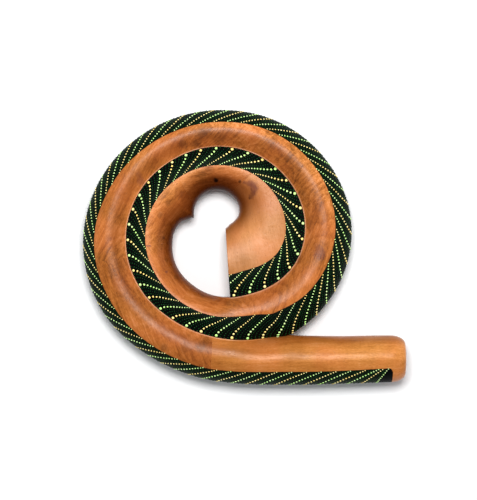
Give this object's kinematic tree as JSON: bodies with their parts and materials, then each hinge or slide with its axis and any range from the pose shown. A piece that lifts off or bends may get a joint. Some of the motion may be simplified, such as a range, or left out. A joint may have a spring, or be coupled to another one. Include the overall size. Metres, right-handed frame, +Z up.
{
  "type": "spiral didgeridoo",
  "caption": "Flat spiral wooden didgeridoo: a straight round mouth end, an outer coil and an inner coil that widens into a bell opening at the centre, with dot-painted flanks.",
  "frame": {"origin": "centre of the bounding box in plan, on the plane the instrument lies on", "axes": "+Z up out of the spiral's plane, +X along the straight mouth end towards the mouth rim, +Y from the mouth end across the spiral"},
  "size_m": [0.3926, 0.3348, 0.056],
  "materials": {
    "oiled_wood_golden": "satin oiled hardwood, golden orange brown with fine straight grain",
    "oiled_wood_red": "satin oiled hardwood, reddish brown with darker streaks",
    "black_ground": "satin black acrylic ground painted on the outer flank of the coils",
    "green_dots": "raised light green acrylic dots",
    "gold_dots": "raised golden yellow acrylic dots",
    "dark_green_dots": "small dark green acrylic dots between the bright rows"
  },
  "bodies": {
    "root": {"upper_mouth_block": "oiled_wood_golden", "upper_outer_coil_block_1": "oiled_wood_red", "upper_outer_coil_block_2": "oiled_wood_golden", "upper_outer_coil_block_3": "oiled_wood_red", "upper_outer_coil_block_4": "oiled_wood_golden", "upper_inner_coil_block_1": "oiled_wood_red", "upper_inner_coil_block_2": "oiled_wood_golden", "upper_inner_coil_block_3": "oiled_wood_red", "upper_inner_coil_block_4": "oiled_wood_golden", "upper_bell_block": "oiled_wood_golden", "lower_mouth_block": "oiled_wood_red", "lower_outer_coil_block_1": "oiled_wood_golden", "lower_outer_coil_block_2": "oiled_wood_red", "lower_outer_coil_block_3": "oiled_wood_golden", "lower_outer_coil_block_4": "oiled_wood_red", "lower_inner_coil_block_1": "oiled_wood_golden", "lower_inner_coil_block_2": "oiled_wood_red", "lower_inner_coil_block_3": "oiled_wood_golden", "lower_inner_coil_block_4": "oiled_wood_red", "lower_bell_block": "oiled_wood_golden"}
  },
  "joints": []
}
